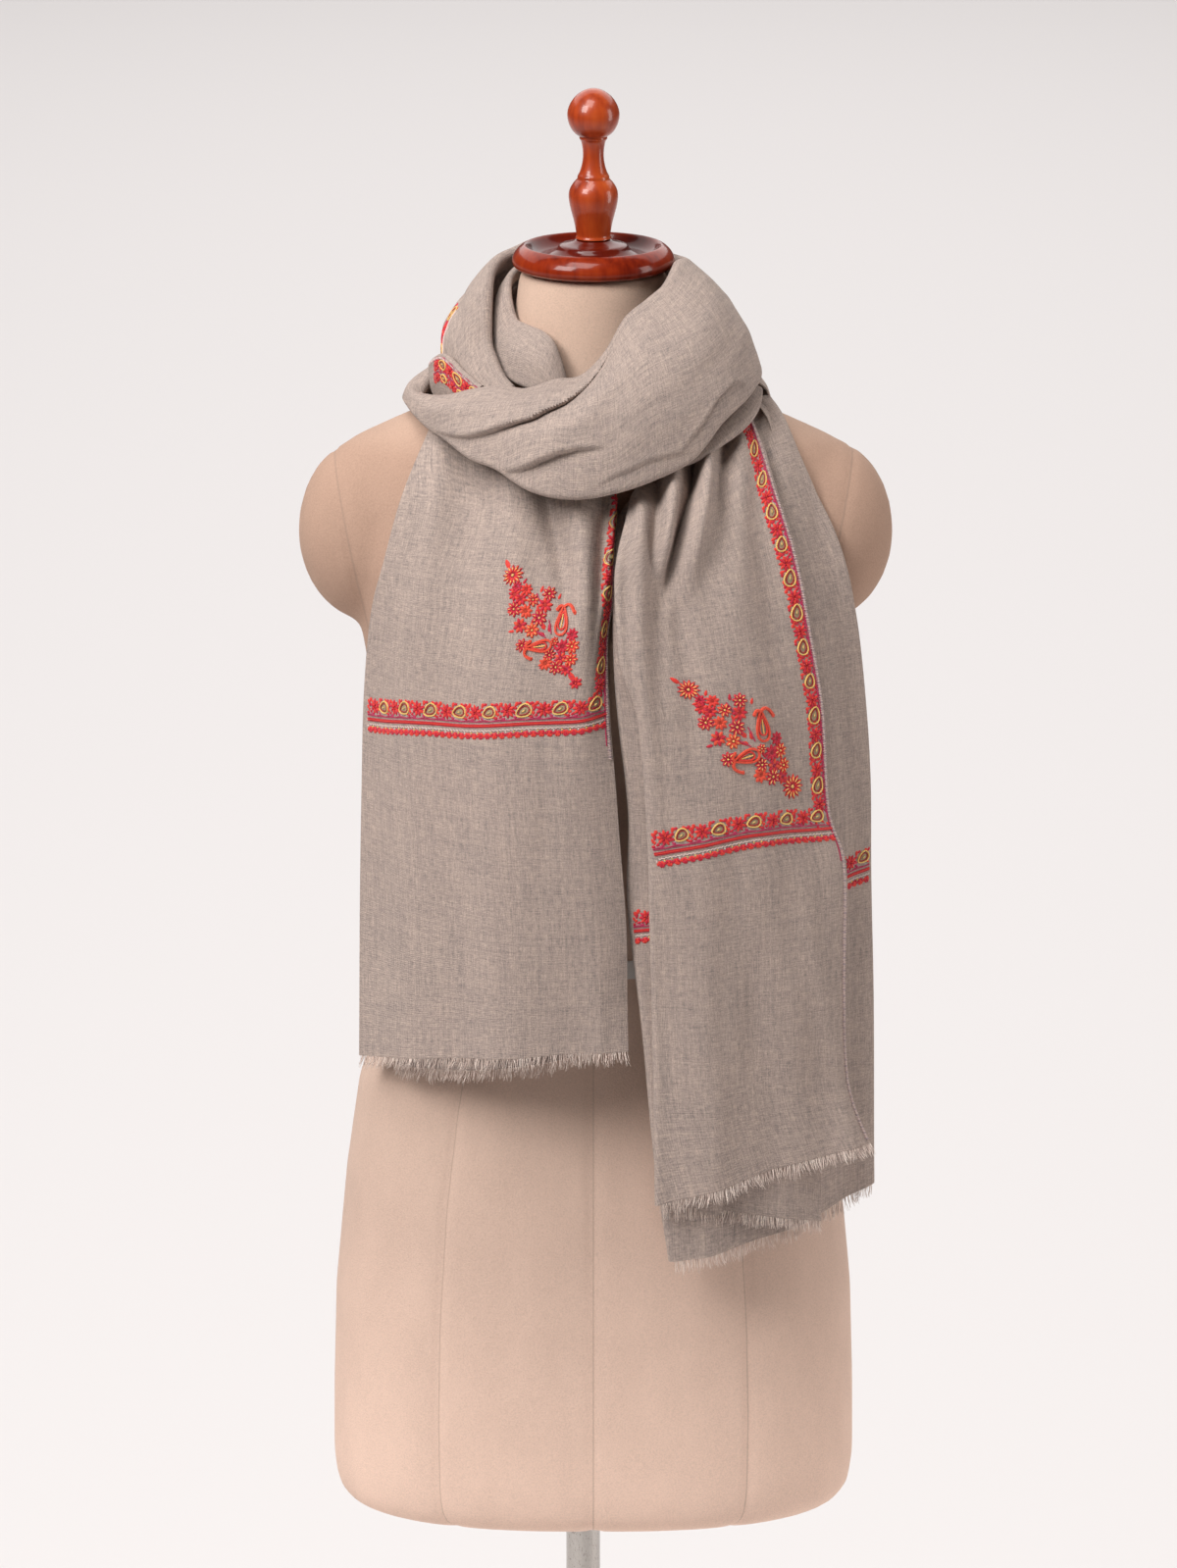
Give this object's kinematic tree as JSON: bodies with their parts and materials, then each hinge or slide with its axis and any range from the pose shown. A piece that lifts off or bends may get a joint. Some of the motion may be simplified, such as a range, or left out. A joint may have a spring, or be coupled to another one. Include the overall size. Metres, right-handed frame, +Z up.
{
  "type": "pashmina shawl on a dress form",
  "caption": "Fine wool shawl with embroidered borders, wound once round the neck of a limbless padded dress form on a pole, its two fringed ends hanging down the front.",
  "frame": {"origin": "centre of the underside of the round foot, on the floor", "axes": "+Z up along the pole; -Y is the front, where the two ends hang; +X is to the right of someone who looks at the front"},
  "size_m": [0.42, 0.42, 1.7578],
  "materials": {
    "shawl": "soft plain-woven goat wool, greyish taupe, matt with a short nap",
    "fringe": "short loose warp ends",
    "padding": "beige suede-like cover over padding",
    "tape": "flat white woven tape",
    "wood": "turned, red-brown, high gloss lacquer",
    "chrome": "polished",
    "foot": "pale satin enamel"
  },
  "bodies": {
    "root": {"form_base": "foot", "form_finial": "wood", "form_neck_cap": "wood", "form_pole": "chrome", "form_sleeve": "chrome", "form_torso": "padding", "form_waist_tape": "tape", "fringe_tail_left": "fringe", "fringe_tail_left_under": "fringe", "fringe_tail_right_back": "fringe", "fringe_tail_right_front": "fringe", "fringe_tail_right_middle": "fringe", "shawl_back_wrap": "shawl", "shawl_band": "shawl", "shawl_collar": "shawl", "shawl_edge_fold": "shawl", "shawl_inner_fold": "shawl", "shawl_tail_left": "shawl", "shawl_tail_left_under": "shawl", "shawl_tail_right_back": "shawl", "shawl_tail_right_front": "shawl", "shawl_tail_right_middle": "shawl", "shawl_under_fold": "shawl"}
  },
  "joints": []
}
